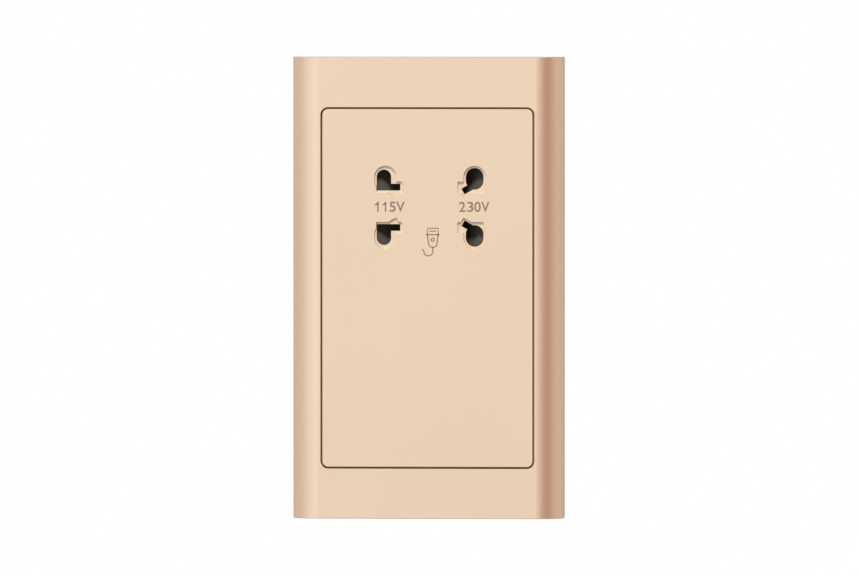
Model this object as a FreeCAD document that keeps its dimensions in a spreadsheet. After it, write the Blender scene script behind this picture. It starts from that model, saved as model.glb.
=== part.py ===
import FreeCAD, Part
import math
import os

import Sketcher

# Dual-voltage shaver socket: two-gang wall plate, pin apertures with sliding shutters, isolating transformer behind.
# Millimetres. X is to the right, Z is up, the front faces -Y and the wall is the plane Y = 0.

os.makedirs("parts", exist_ok=True)
doc = FreeCAD.newDocument("ShaverSocket")
sheet = doc.addObject("Spreadsheet::Sheet", "Sizes")
Vector = FreeCAD.Vector

SIZES = {
    # clip-on frame
    "plate_width": 86.0,
    "plate_height": 146.0,
    "projection": 10.0,
    "frame_wall": 2.0,
    "side_band": 9.15,
    "side_flat": 0.65,
    "end_band": 15.85,
    "edge_round": 0.15,
    "lip_depth": 3.5,
    "lip_wall": 1.2,
    "nose_reach": 1.0,
    "nose_width": 12.0,
    # centre panel
    "panel_corner": 1.8,
    "panel_gap": 0.6,
    "panel_thickness": 3.0,
    "panel_edge": 0.06,
    "shoulder_depth": 2.3,
    "shoulder_gap": 0.15,
    "skirt_wall": 1.8,
    "boss_radius": 2.6,
    # pin apertures: columns from the housing's side walls, rows from the middle of the socket group
    "socket_offset": 0.8,
    "shutter_room": 11.7,
    "slot_span": 7.45,
    "slot_low": 5.32,
    "slot_high": 7.44,
    "pin_near": 8.42,
    "pin_far": 9.65,
    "wide_radius": 2.8,
    "narrow_radius": 2.28,
    "blade_inset": 3.3,
    "blade_row": 6.85,
    "blade_length": 7.4,
    "blade_width": 2.1,
    "blade_angle": 30.0,
    "recess_margin": 0.7,
    "recess_depth": 1.0,
    "recess_slope": 6.0,
    # mounting plate
    "yoke_thickness": 2.5,
    "yoke_gap": 0.4,
    "fixing_margin": 3.75,
    "fixing_radius": 1.75,
    "fixing_length": 27.5,
    "head_radius": 3.25,
    "head_height": 2.2,
    # rear housing
    "tub_side": 2.05,
    "tub_end": 8.55,
    "tub_wall": 1.8,
    "tub_corner": 4.0,
    "flange_thickness": 2.0,
    "shallow_depth": 16.0,
    "deep_depth": 36.0,
    "step_room": 2.4,
    "joint_screw": 1.3,
    # shutters and contacts
    "shutter_lap": 0.25,
    "shutter_tail": 2.1,
    "hole_cover": 0.85,
    "running_gap": 0.3,
    "guide_wall": 1.5,
    "carrier_face": 1.7,
    "carrier_margin": 2.0,
    "strip": 0.6,
    "spring_radius": 2.2,
    "spring_wire": 0.5,
    "spring_turns": 5.0,
    # transformer
    "core_side": 2.4,
    "core_seat": 0.5,
    "core_gap": 0.2,
    "bobbin_wall": 1.1,
    "coil_gap": 0.8,
    "coil_room": 2.8,
    "rear_room": 2.0,
    "cutout_height": 4.5,
    "cutout_gap": 0.4,
    # supply terminals
    "bay_pitch": 11.5,
    "bay_depth": 10.0,
    "terminal_width": 8.2,
    "wire_radius": 2.1,
    "tail_width": 2.8,
    "tail_drop": 3.6,
    "tail_room": 2.8,
    # internal leads
    "lead_radius": 0.8,
    "lead_step": 3.6,
}


class Size:
    """A number with the sheet expression that drives it."""

    def __init__(self, value, text):
        self.value = float(value)
        self.text = text

    def __add__(self, other):
        other = as_size(other)
        return Size(self.value + other.value, f"({self.text} + {other.text})")

    def __radd__(self, other):
        return as_size(other) + self

    def __sub__(self, other):
        other = as_size(other)
        return Size(self.value - other.value, f"({self.text} - {other.text})")

    def __rsub__(self, other):
        return as_size(other) - self

    def __mul__(self, other):
        other = as_size(other)
        return Size(self.value * other.value, f"({self.text} * {other.text})")

    def __rmul__(self, other):
        return as_size(other) * self

    def __truediv__(self, other):
        other = as_size(other)
        return Size(self.value / other.value, f"({self.text} / {other.text})")

    def __neg__(self):
        return Size(-self.value, f"(0 - {self.text})")


def as_size(value):
    if isinstance(value, Size):
        return value
    if value < 0:
        return Size(value, f"(0 - {-value})")
    return Size(value, str(value))


def cosine(angle):
    return Size(math.cos(math.radians(angle.value)), f"cos({angle.text})")


def sine(angle):
    return Size(math.sin(math.radians(angle.value)), f"sin({angle.text})")


class Sheet:
    """Fills the spreadsheet and gives each size by its alias."""

    def __init__(self, table):
        for row, (alias, number) in enumerate(table.items(), 1):
            sheet.set(f"A{row}", alias.replace("_", " "))
            sheet.set(f"B{row}", str(number))
            sheet.setAlias(f"B{row}", alias)
            setattr(self, alias, Size(number, f"Sizes.{alias}"))


size = Sheet(SIZES)
doc.recompute()


def bind(thing, name, value):
    thing.setExpression(name, as_size(value).text)


# Sketching helpers

def sketch_on(body, name, role, offset):
    sketch = body.newObject("Sketcher::SketchObject", name)
    plane = [item for item in body.Origin.OriginFeatures if item.Role == role][0]
    sketch.AttachmentSupport = [(plane, "")]
    sketch.MapMode = "FlatFace"
    bind(sketch, "AttachmentOffset.Base.z", offset)
    return sketch


def facing(body, name, depth):
    """A sketch parallel to the wall at the given Y, drawn in X and Z."""
    return sketch_on(body, name, "XZ_Plane", -as_size(depth))


def fix(sketch, constraints):
    """Adds dimensions given as (constraint arguments, size) and ties each to the sheet."""
    for arguments, value in constraints:
        index = sketch.addConstraint(Sketcher.Constraint(*arguments, value.value))
        if "Sizes" in value.text:
            sketch.setExpression(f"Constraints[{index}]", value.text)


def arc(start, end, radius):
    """The shorter arc between two points, anticlockwise for a positive radius."""
    chord = end - start
    rise = math.sqrt(max(radius * radius - chord.Length * chord.Length / 4, 0.0))
    left = Vector(-chord.y, chord.x, 0) / chord.Length
    turn = 1 if radius > 0 else -1
    centre = (start + end) / 2 + left * (rise * turn)
    first, last = (start, end) if turn > 0 else (end, start)
    begin = math.atan2(first.y - centre.y, first.x - centre.x)
    finish = math.atan2(last.y - centre.y, last.x - centre.x)
    if finish <= begin:
        finish += 2 * math.pi
    return Part.ArcOfCircle(Part.Circle(centre, Vector(0, 0, 1), abs(radius)), begin, finish)


def trace(sketch, path):
    """Draws a closed outline. A corner with a third entry is reached by an arc of that radius."""
    corners = [tuple(as_size(entry) for entry in corner) for corner in path]
    places = [Vector(corner[0].value, corner[1].value, 0) for corner in corners]
    pieces = []
    dimensions = []
    for index, corner in enumerate(corners):
        start = places[index - 1]
        end = places[index]
        ends = (1, 2)
        if len(corner) == 3:
            piece = sketch.addGeometry(arc(start, end, corner[2].value))
            radius = corner[2]
            if radius.value < 0:
                ends = (2, 1)
                radius = -radius
            dimensions.append((("Radius", piece), radius))
        else:
            piece = sketch.addGeometry(Part.LineSegment(start, end))
        pieces.append((piece, ends))
        dimensions.append((("DistanceX", -1, 1, piece, ends[1]), corner[0]))
        dimensions.append((("DistanceY", -1, 1, piece, ends[1]), corner[1]))
    for index, (piece, ends) in enumerate(pieces):
        before, before_ends = pieces[index - 1]
        sketch.addConstraint(Sketcher.Constraint("Coincident", before, before_ends[1], piece, ends[0]))
    fix(sketch, dimensions)


def circle(sketch, x, y, radius):
    x, y, radius = as_size(x), as_size(y), as_size(radius)
    piece = sketch.addGeometry(Part.Circle(Vector(x.value, y.value, 0), Vector(0, 0, 1), radius.value))
    fix(sketch, [
        (("DistanceX", -1, 1, piece, 3), x),
        (("DistanceY", -1, 1, piece, 3), y),
        (("Radius", piece), radius),
    ])


def box(left, low, right, high):
    return [(left, low), (right, low), (right, high), (left, high)]


def rounded(left, low, right, high, radius):
    return [
        (left + radius, low, radius),
        (right - radius, low),
        (right, low + radius, radius),
        (right, high - radius),
        (right - radius, high, radius),
        (left + radius, high),
        (left, high - radius, radius),
        (left, low + radius),
    ]


def centred(width, height, radius):
    return rounded(-width / 2, -height / 2, width / 2, height / 2, radius)


def upright(x, low, high, radius):
    """A vertical obround between two arc centres, in quarter arcs."""
    return [
        (x + radius, low, radius),
        (x + radius, high),
        (x, high + radius, radius),
        (x - radius, high, radius),
        (x - radius, low),
        (x, low - radius, radius),
    ]


def placed(path, side, row):
    """Moves an outline to the socket group, mirrored left or right and up or down."""
    moved = []
    for corner in path:
        spot = [size.socket_offset + corner[0] * side, socket_height + corner[1] * row]
        if len(corner) == 3:
            spot.append(corner[2] * (side * row))
        moved.append(tuple(spot))
    return moved


# Solid helpers

def new_body(name):
    body = doc.addObject("PartDesign::Body", name)
    body.Label = name
    return body


def extrude(body, kind, sketch, length, backward, both):
    feature = body.newObject(f"PartDesign::{kind}", sketch.Name + kind)
    feature.Profile = sketch
    bind(feature, "Length", length)
    feature.Reversed = backward
    if both:
        feature.SideType = "Symmetric"
    return feature


def pad(body, sketch, length, backward=False, both=False):
    return extrude(body, "Pad", sketch, length, backward, both)


def cut(body, sketch, length, backward=False, both=False):
    return extrude(body, "Pocket", sketch, length, backward, both)


def slab(body, name, paths, start, end):
    """Adds outlines drawn facing the wall, from one Y to a larger one."""
    sketch = facing(body, name, start)
    for path in paths:
        trace(sketch, path)
    return pad(body, sketch, as_size(end) - start, backward=True)


def hollow(body, name, paths, start, end):
    """Removes outlines drawn facing the wall, from one Y to a larger one."""
    sketch = facing(body, name, start)
    for path in paths:
        trace(sketch, path)
    return cut(body, sketch, as_size(end) - start)


def posts(body, name, spots, radius, start, end):
    sketch = facing(body, name, start)
    for x, z in spots:
        circle(sketch, x, z, radius)
    return pad(body, sketch, as_size(end) - start, backward=True)


def drill(body, name, spots, radius, start, end):
    sketch = facing(body, name, start)
    for x, z in spots:
        circle(sketch, x, z, radius)
    return cut(body, sketch, as_size(end) - start)


def soften(body, name, radius, wanted):
    """Rounds the edges of the body's last feature that the test picks."""
    doc.recompute()
    base = body.Tip
    edges = []
    for number, edge in enumerate(base.Shape.Edges, 1):
        if wanted(edge):
            edges.append(f"Edge{number}")
    feature = body.newObject("PartDesign::Fillet", name)
    feature.Base = (base, edges)
    bind(feature, "Radius", radius)
    return feature


def along(edge, axis, value):
    """True where every point of the edge has this coordinate."""
    value = as_size(value).value
    ends = [getattr(vertex.Point, axis) for vertex in edge.Vertexes]
    ends.append(getattr(edge.CenterOfMass, axis))
    return all(abs(place - value) < 1e-4 for place in ends)


def both_ways(x, z):
    return [(x, z), (-x, z), (-x, -z), (x, -z)]


# Shared levels and positions

half_width = size.plate_width / 2
half_height = size.plate_height / 2
front = -size.projection
side_radius = size.side_band - size.side_flat
opening_width = size.plate_width - size.side_band * 2
opening_height = size.plate_height - size.end_band * 2
opening_corner = size.panel_corner + size.panel_gap
panel_width = opening_width - size.panel_gap * 2
panel_height = opening_height - size.panel_gap * 2
panel_back = front + size.panel_thickness
yoke_front = -size.yoke_thickness
nose_x = size.plate_width / 4
nose_z = size.plate_height / 4
nose_back = as_size(-0.3)
nose_front = yoke_front / 2 + 0.15
ledge_back = yoke_front / 2
yoke_x = half_width - size.frame_wall - size.yoke_gap
yoke_z = half_height - size.frame_wall - size.yoke_gap
joint_x = panel_width / 2 - size.skirt_wall - size.boss_radius - 0.25
joint_z = panel_height / 2 - size.skirt_wall - size.boss_radius - 0.25
joint_spots = both_ways(joint_x, joint_z)

# The housing fits inside the panel's outline, and the pin columns keep room beside its walls for the shutters
tub_width = panel_width - size.tub_side * 2
tub_height = panel_height - size.tub_end * 2
tub_half = tub_height / 2
tub_inner = tub_width / 2 - size.tub_wall
tub_top = tub_half - size.tub_wall
shallow_floor = size.shallow_depth - size.tub_wall
deep_floor = size.deep_depth - size.tub_wall
hole_outer = tub_inner - size.socket_offset - size.shutter_room
slot_inner = hole_outer - size.slot_span
blade_column = hole_outer - size.blade_inset
shutter_inner = slot_inner - size.shutter_lap
shutter_outer = hole_outer + size.shutter_tail
shutter_travel = hole_outer - shutter_inner
shutter_half = size.pin_far + size.wide_radius + size.hole_cover
guide_low = shutter_half + size.running_gap
guide_high = guide_low + size.guide_wall

# From the housing's top down: terminal tails, contact carrier, step, transformer
tail_z = tub_half - size.tail_drop
carrier_high = tail_z - size.tail_room
socket_height = carrier_high - size.carrier_margin / 2 - guide_high
carrier_low = socket_height - guide_high - size.carrier_margin
step_height = carrier_low - size.step_room
core_half = tub_inner - size.core_side
leg = core_half / 3
coil_build = leg - size.coil_gap
core_front = panel_back + size.coil_room + coil_build
core_back = deep_floor - size.rear_room - coil_build
core_low = -tub_top + size.core_seat
core_top = step_height - size.tub_wall - size.cutout_gap - size.cutout_height

# Clip-on frame: flat front, long sides rolled over, open back with catch noses on its inner walls

front_frame = new_body("front_frame")


def frame_section(name, wall):
    sketch = sketch_on(front_frame, name, "XY_Plane", 0)
    side = half_width - wall
    face = front + wall
    radius = side_radius - wall
    trace(sketch, [
        (-side, 0),
        (-side, face + radius),
        (radius - side, face, radius),
        (side - radius, face),
        (side, face + radius, radius),
        (side, 0),
    ])
    return sketch


pad(front_frame, frame_section("FrameSection", as_size(0)), size.plate_height, both=True)
soften(
    front_frame, "FrameEnds", size.edge_round,
    lambda edge: (along(edge, "z", half_height) or along(edge, "z", -half_height)) and not along(edge, "y", 0),
)
cut(front_frame, frame_section("FrameHollow", size.frame_wall), size.plate_height - size.frame_wall * 2, both=True)
slab(
    front_frame, "FrameLip",
    [centred(opening_width + size.lip_wall * 2, opening_height + size.lip_wall * 2, opening_corner + size.lip_wall)],
    front + size.frame_wall / 2, front + size.lip_depth,
)
hollow(front_frame, "FrameOpening", [centred(opening_width, opening_height, opening_corner)], front - 1, 0)
soften(
    front_frame, "OpeningEdge", size.panel_edge,
    lambda edge: along(edge, "y", front) and abs(edge.CenterOfMass.x) < opening_width.value / 2 + 0.01,
)
nose_root = size.frame_wall / 2
noses = []
for way in (1, -1):
    for spot in (nose_x, -nose_x):
        near = (half_height - size.frame_wall - size.nose_reach) * way
        far = (half_height - nose_root) * way
        low, high = (near, far) if way > 0 else (far, near)
        noses.append(box(spot - size.nose_width / 2, low, spot + size.nose_width / 2, high))
    for spot in (nose_z, -nose_z):
        near = (half_width - size.frame_wall - size.nose_reach) * way
        far = (half_width - nose_root) * way
        left, right = (near, far) if way > 0 else (far, near)
        noses.append(box(left, spot - size.nose_width / 2, right, spot + size.nose_width / 2))
slab(front_frame, "CatchNoses", noses, nose_front, nose_back)

# Centre panel: moulded cover with the pin apertures, shutter guides and screw bosses behind it

centre_panel = new_body("centre_panel")
slab(
    centre_panel, "PanelFace", [centred(panel_width, panel_height, size.panel_corner)],
    front, panel_back,
)
soften(centre_panel, "PanelEdge", size.panel_edge, lambda edge: along(edge, "y", front))
shoulder = size.panel_gap - size.shoulder_gap
slab(
    centre_panel, "PanelShoulder",
    [centred(panel_width + shoulder * 2, panel_height + shoulder * 2, size.panel_corner + shoulder)],
    front + size.shoulder_depth, panel_back,
)
skirt_inner = centred(
    panel_width - size.skirt_wall * 2, panel_height - size.skirt_wall * 2,
    size.panel_corner / 2,
)
slab(
    centre_panel, "PanelSkirt",
    [centred(panel_width, panel_height, size.panel_corner), skirt_inner],
    panel_back, yoke_front,
)
posts(centre_panel, "PanelBosses", joint_spots, size.boss_radius, panel_back, yoke_front)
drill(
    centre_panel, "BossPilots", joint_spots, size.joint_screw + 0.05,
    front + 1.5, yoke_front,
)

wide_column = hole_outer - size.wide_radius
narrow_column = hole_outer - size.narrow_radius


def blade(margin):
    """The tilted blade slot grown by a margin; its outer end stops inside the round hole."""
    inward = -size.blade_length / 2 - margin
    outward = size.blade_length / 4
    across = size.blade_width / 2 + margin
    outline = []
    for ahead, way in ((inward, -1), (outward, -1), (outward, 1), (inward, 1)):
        x = cosine(size.blade_angle) * ahead - sine(size.blade_angle) * across * way
        z = sine(size.blade_angle) * ahead + cosine(size.blade_angle) * across * way
        outline.append((blade_column + x, size.blade_row + z))
    return outline


def flat_slot(margin):
    """The flat blade slot grown by a margin; its outer end stays level with the round hole."""
    return rounded(
        slot_inner - margin, size.slot_low - margin,
        hole_outer + margin / 5, size.slot_high + margin, as_size(0.25),
    )


everywhere = [(side, row) for side in (-1, 1) for row in (1, -1)]
grow = size.recess_margin
for name, outline in (
    ("RoundRecess", upright(wide_column, size.pin_near, size.pin_far, size.wide_radius + grow)),
    ("FlatRecess", flat_slot(grow)),
    ("BladeRecess", blade(grow)),
):
    funnel = hollow(
        centre_panel, name, [placed(outline, side, row) for side, row in everywhere],
        front, front + size.recess_depth,
    )
    bind(funnel, "TaperAngle", -size.recess_slope)


def aperture(name, outline, side):
    hollow(
        centre_panel, name, [placed(outline, side, row) for row in (1, -1)],
        front - 1, panel_back + 0.01,
    )


narrow_hole = [
    (narrow_column - size.narrow_radius, size.slot_low + 0.5),
    (narrow_column + size.narrow_radius, size.slot_low + 0.5),
    (narrow_column + size.narrow_radius, size.pin_far),
    (narrow_column, size.pin_far + size.narrow_radius, size.narrow_radius),
    (narrow_column - size.narrow_radius, size.pin_far, size.narrow_radius),
]
aperture("NarrowHole", narrow_hole, -1)
aperture("FlatSlot", flat_slot(as_size(0)), -1)
aperture("WideHole", upright(wide_column, size.pin_near, size.pin_far, size.wide_radius), 1)
aperture("BladeSlot", blade(as_size(0)), 1)

stop_right = shutter_inner - 0.1
stop_left = stop_right - size.guide_wall
post_left = shutter_outer + shutter_travel - 0.1
post_right = post_left + size.guide_wall
bay_half = size.spring_radius + size.spring_wire / 2 + 1.2
ribs = []
for side in (-1, 1):
    for row in (1, -1):
        ribs.append(placed(box(stop_left, guide_low, post_right, guide_high), side, row))
    ribs.append(placed(box(stop_left, -guide_low + 1, stop_right, guide_low - 1), side, 1))
    ribs.append(placed(box(post_left, -bay_half + 0.4, post_right, bay_half - 0.4), side, 1))
slab(centre_panel, "ShutterGuides", ribs, panel_back, size.carrier_face)
peg_row = shutter_half * 0.68
peg_spots = [
    (size.socket_offset, socket_height + peg_row),
    (size.socket_offset, socket_height - peg_row),
]
posts(centre_panel, "CarrierPosts", peg_spots, as_size(2.6), panel_back, size.carrier_face)
posts(centre_panel, "CarrierPegs", peg_spots, as_size(1.4), size.carrier_face, size.carrier_face + 1.4)

# Mounting plate: rests on the wall, takes the two box screws and carries frame, panel and housing

mounting_plate = new_body("mounting_plate")
slab(mounting_plate, "YokePlate", [centred(yoke_x * 2, yoke_z * 2, as_size(2.0))], yoke_front, 0)
window_width = tub_width - 1
window_height = tub_height - 1
hollow(
    mounting_plate, "YokeWindow", [centred(window_width, window_height, size.tub_corner)],
    yoke_front, 0,
)
slot_radius = size.fixing_radius + 0.35
fixing_z = panel_height / 2 + size.fixing_margin
fixing_rows = (fixing_z, -fixing_z)
fixing_slots = []
for row in fixing_rows:
    fixing_slots.append([
        (1, row - slot_radius),
        (1 + slot_radius, row, slot_radius),
        (1, row + slot_radius, slot_radius),
        (-1, row + slot_radius),
        (-1 - slot_radius, row, slot_radius),
        (-1, row - slot_radius, slot_radius),
    ])
hollow(mounting_plate, "FixingSlots", fixing_slots, yoke_front, 0)
drill(mounting_plate, "YokeHoles", joint_spots, size.joint_screw + 0.2, yoke_front, 0)
catches = []
for way in (1, -1):
    for spot in (nose_x, -nose_x):
        near = (half_height - size.frame_wall - size.nose_reach - size.running_gap) * way
        far = half_height * way
        low, high = (near, far) if way > 0 else (far, near)
        reach = size.nose_width / 2 + size.running_gap
        catches.append(box(spot - reach, low, spot + reach, high))
    for spot in (nose_z, -nose_z):
        near = (half_width - size.frame_wall - size.nose_reach - size.running_gap) * way
        far = half_width * way
        left, right = (near, far) if way > 0 else (far, near)
        reach = size.nose_width / 2 + size.running_gap
        catches.append(box(left, spot - reach, right, spot + reach))
hollow(mounting_plate, "CatchPockets", catches, ledge_back, 0)
rail_inner = panel_width / 2 + 2.4
rail_outer = rail_inner + 1.4
rail_end = tub_half
slab(
    mounting_plate, "YokeRails",
    [box(rail_inner, -rail_end, rail_outer, rail_end), box(-rail_outer, -rail_end, -rail_inner, rail_end)],
    yoke_front - 1.5, yoke_front,
)

# Rear housing: stepped tub behind the mounting plate, shallow behind the apertures and deep at the transformer

rear_housing = new_body("rear_housing")
flange_x = joint_x + size.boss_radius + 0.3
flange_z = joint_z + size.boss_radius + 0.3
slab(rear_housing, "Flange", [centred(flange_x * 2, flange_z * 2, as_size(3.0))], 0, size.flange_thickness)
slab(
    rear_housing, "ShallowBlock", [centred(tub_width, tub_height, size.tub_corner)],
    0, size.shallow_depth,
)
slab(
    rear_housing, "DeepBlock",
    [rounded(-tub_width / 2, -tub_half, tub_width / 2, step_height, size.tub_corner)],
    size.flange_thickness, size.deep_depth,
)
soften(
    rear_housing, "HousingBack", as_size(1.2),
    lambda edge: along(edge, "y", size.deep_depth),
)
inner_corner = size.tub_corner - size.tub_wall
hollow(
    rear_housing, "ShallowHollow", [centred(tub_inner * 2, tub_top * 2, inner_corner)],
    0, shallow_floor,
)
hollow(
    rear_housing, "DeepHollow",
    [rounded(-tub_inner, -tub_top, tub_inner, step_height - size.tub_wall, inner_corner)],
    0, deep_floor,
)
drill(rear_housing, "FlangeHoles", joint_spots, size.joint_screw + 0.2, 0, size.flange_thickness)

core_screw_x = core_half - leg / 2
core_spots = [
    (core_screw_x, core_top - leg / 2),
    (-core_screw_x, core_top - leg / 2),
    (-core_screw_x, core_low + leg / 2),
    (core_screw_x, core_low + leg / 2),
]
posts(rear_housing, "CorePosts", core_spots, as_size(3.2), core_back, deep_floor + 0.5)
drill(rear_housing, "PostPilots", core_spots, size.joint_screw + 0.05, core_back, deep_floor - 1)

bay_spots = (-size.bay_pitch / 2, size.bay_pitch / 2, size.bay_pitch * 1.5)
bay_half_width = size.terminal_width / 2 + 0.25
bay_low = tub_half - size.bay_depth
cradle_left = bay_spots[0] - bay_half_width - 1.4
cradle_right = bay_spots[2] + bay_half_width + 1.4
cradle_back = size.shallow_depth + size.bay_depth
slab(
    rear_housing, "TerminalCradle", [box(cradle_left, bay_low - 1.5, cradle_right, tub_half - 0.6)],
    size.shallow_depth - 0.5, cradle_back,
)
hollow(
    rear_housing, "TerminalBays",
    [box(spot - bay_half_width, bay_low, spot + bay_half_width, tub_half + 1) for spot in bay_spots],
    size.shallow_depth, cradle_back + 1,
)
tail_half = size.tail_width / 2
slot_half = tail_half + size.running_gap
hollow(
    rear_housing, "TailSlots",
    [box(spot - slot_half, tail_z - 0.8, spot + slot_half, tail_z + 0.8) for spot in bay_spots],
    shallow_floor - 0.5, size.shallow_depth + 0.5,
)

# Contact carrier: block of four cells behind the shutters, held between the panel's ribs and the housing floor

contact_carrier = new_body("contact_carrier")
carrier_half = tub_inner - size.running_gap
carrier_back = shallow_floor - 0.05
cell_floor = size.carrier_face + 1.5
cell_low = size.slot_low - size.hole_cover
cell_high = shutter_half - 0.1
cell_left = slot_inner - 0.6
cell_right = hole_outer + 0.7
slab(
    contact_carrier, "CarrierBlock",
    [rounded(-carrier_half, carrier_low, carrier_half, carrier_high, as_size(1.0))],
    size.carrier_face, carrier_back,
)
cell = box(cell_left, cell_low, cell_right, cell_high)
hollow(
    contact_carrier, "ContactCells", [placed(cell, side, row) for side, row in everywhere],
    cell_floor, carrier_back,
)
mouth = box(cell_left + 0.5, cell_low + 0.3, cell_right - 0.5, cell_high - 0.5)
hollow(
    contact_carrier, "CellMouths", [placed(mouth, side, row) for side, row in everywhere],
    size.carrier_face, cell_floor,
)
core_out = box(-cell_left + 1.4, -cell_high, cell_left - 1.4, cell_high)
hollow(contact_carrier, "CarrierCoring", [placed(core_out, 1, 1)], cell_floor, carrier_back)
drill(contact_carrier, "PegHoles", peg_spots, as_size(1.5), size.carrier_face, cell_floor)
tail_left = cell_right + 2.4
tail_right = tail_left + 3
tail_low = step_height - socket_height + 0.2
tag_low = carrier_low - socket_height
arm_low = cell_high - 5.2
arm_high = arm_low + 3
channel_front = carrier_back - size.strip - 0.5
upper_channel = [
    (cell_right - 0.5, arm_low - 0.4),
    (tail_left - 0.4, arm_low - 0.4),
    (tail_left - 0.4, tag_low - 1),
    (tail_right + 0.4, tag_low - 1),
    (tail_right + 0.4, arm_high + 0.4),
    (cell_right - 0.5, arm_high + 0.4),
]
lower_channel = box(cell_left + 2.6, tag_low - 1, cell_right - 2.6, -cell_high + 0.5)
channels = []
for side in (-1, 1):
    channels.append(placed(upper_channel, side, 1))
    channels.append(placed(lower_channel, side, 1))
hollow(contact_carrier, "TailChannels", channels, channel_front, carrier_back)
lead_x = tub_inner - size.lead_radius - 1.1
lead_y = carrier_back - size.lead_radius - 1.1
side_channels = []
for side in (-1, 1):
    edges = [(lead_x - size.lead_radius - 0.6) * side, (carrier_half + 1) * side]
    left, right = edges if side > 0 else edges[::-1]
    side_channels.append(box(left, carrier_low - 1, right, carrier_high + 1))
hollow(
    contact_carrier, "LeadChannels", side_channels,
    lead_y - size.lead_radius - 0.6, carrier_back,
)

# Contacts: folded spring strip in each cell, with a solder tail that runs down behind the carrier

strip_back = carrier_back - 0.2
strip_front = strip_back - size.strip
leaf_low = cell_low + 0.2
leaf_high = cell_high - 0.6
contact_left = cell_left + 0.8
contact_right = cell_right - 0.8
leaf_front = cell_floor + 0.8
nose_depth = cell_floor + (strip_front - cell_floor) * 0.35
pinch = size.pin_far - 0.2


def contact(name, side, row):
    body = new_body(name)
    inward = contact_left if side > 0 else contact_right
    sketch = sketch_on(body, name + "Clip", "YZ_Plane", size.socket_offset + inward * side)
    outline = [
        (leaf_front, leaf_low),
        (strip_back, leaf_low),
        (strip_back, leaf_high),
        (strip_front - 0.4, leaf_high),
        (nose_depth + 0.1, pinch + size.strip),
        (leaf_front + 0.3, leaf_high),
        (leaf_front - 0.2, leaf_high - size.strip),
        (nose_depth, pinch),
        (strip_front - 0.2, leaf_high - size.strip),
        (strip_front, leaf_high - size.strip),
        (strip_front, leaf_low + size.strip),
        (leaf_front, leaf_low + size.strip),
    ]
    trace(sketch, [(depth, socket_height + rise * row) for depth, rise in outline])
    pad(body, sketch, contact_right - contact_left)
    if row > 0:
        tail = [
            (contact_right - 1, arm_low),
            (tail_left, arm_low),
            (tail_left, tail_low),
            (tail_right, tail_low),
            (tail_right, arm_high),
            (contact_right - 1, arm_high),
        ]
    else:
        tail = box(contact_left + 2.2, tail_low, contact_right - 2.2, -leaf_high + 1)
    slab(body, name + "Tail", [placed(tail, side, 1)], strip_front, strip_back)
    return body


contacts = [
    contact("contact_115v_upper", -1, 1),
    contact("contact_115v_lower", -1, -1),
    contact("contact_230v_upper", 1, 1),
    contact("contact_230v_lower", 1, -1),
]

# Shutters: ramped slides that a pin pushes outwards, each returned by a coil spring

ramp_front = panel_back + size.running_gap + 0.1
shutter_back = size.carrier_face - size.running_gap
ramp_end = hole_outer + 0.3
seat = shutter_inner + 2.2
spring_depth = (panel_back + size.carrier_face) / 2 + 0.4


def shutter(name, side):
    body = new_body(name)
    sketch = sketch_on(body, name + "Wedge", "XY_Plane", socket_height)
    section = [
        (shutter_inner, shutter_back),
        (shutter_outer, shutter_back),
        (shutter_outer, ramp_front),
        (ramp_end, ramp_front),
        (shutter_inner, shutter_back - 0.8),
    ]
    trace(sketch, [(size.socket_offset + x * side, depth) for x, depth in section])
    pad(body, sketch, shutter_half * 2, both=True)
    bay = box(seat, -bay_half, shutter_outer + 1, bay_half)
    hollow(body, name + "Bay", [placed(bay, side, 1)], ramp_front - 1, shutter_back)
    block = box(shutter_inner, -bay_half, seat, bay_half)
    slab(body, name + "Seat", [placed(block, side, 1)], spring_depth - bay_half + 0.4, shutter_back)
    coring = box(ramp_end - 2.6, bay_half + 1.3, shutter_outer - 1.2, shutter_half - 1.2)
    hollow(
        body, name + "Coring", [placed(coring, side, row) for row in (1, -1)],
        (ramp_front + shutter_back) / 2, shutter_back,
    )
    peg = sketch_on(body, name + "Peg", "YZ_Plane", size.socket_offset + seat * side)
    circle(peg, spring_depth, socket_height, size.spring_radius - size.spring_wire / 2 - 0.3)
    pad(body, peg, as_size(2.0), backward=side < 0)
    return body


shutters = [shutter("shutter_115v", -1), shutter("shutter_230v", 1)]


def spring(name, side):
    helix = doc.addObject("Part::Helix", name + "_line")
    space = post_left - seat - size.spring_wire - 0.1
    bind(helix, "Radius", size.spring_radius)
    bind(helix, "Height", space)
    bind(helix, "Pitch", space / size.spring_turns)
    wire = doc.addObject("Part::Circle", name + "_section")
    bind(wire, "Radius", size.spring_wire / 2)
    wire.Placement = FreeCAD.Placement(Vector(0, 0, 0), FreeCAD.Rotation(Vector(1, 0, 0), 90))
    bind(wire, "Placement.Base.x", size.spring_radius)
    sweep = doc.addObject("Part::Sweep", name)
    sweep.Label = name
    sweep.Sections = [wire]
    sweep.Spine = (helix, [])
    sweep.Solid = True
    sweep.Frenet = True
    sweep.Placement = FreeCAD.Placement(Vector(0, 0, 0), FreeCAD.Rotation(Vector(0, 1, 0), 90 * side))
    bind(sweep, "Placement.Base.x", size.socket_offset + (seat + size.spring_wire / 2 + 0.05) * side)
    bind(sweep, "Placement.Base.y", spring_depth)
    bind(sweep, "Placement.Base.z", socket_height)
    return sweep


springs = [spring("shutter_spring_115v", -1), spring("shutter_spring_230v", 1)]

# Transformer: E and I lamination stacks around a two-chamber bobbin, bolted to posts in the deep tub

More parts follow.
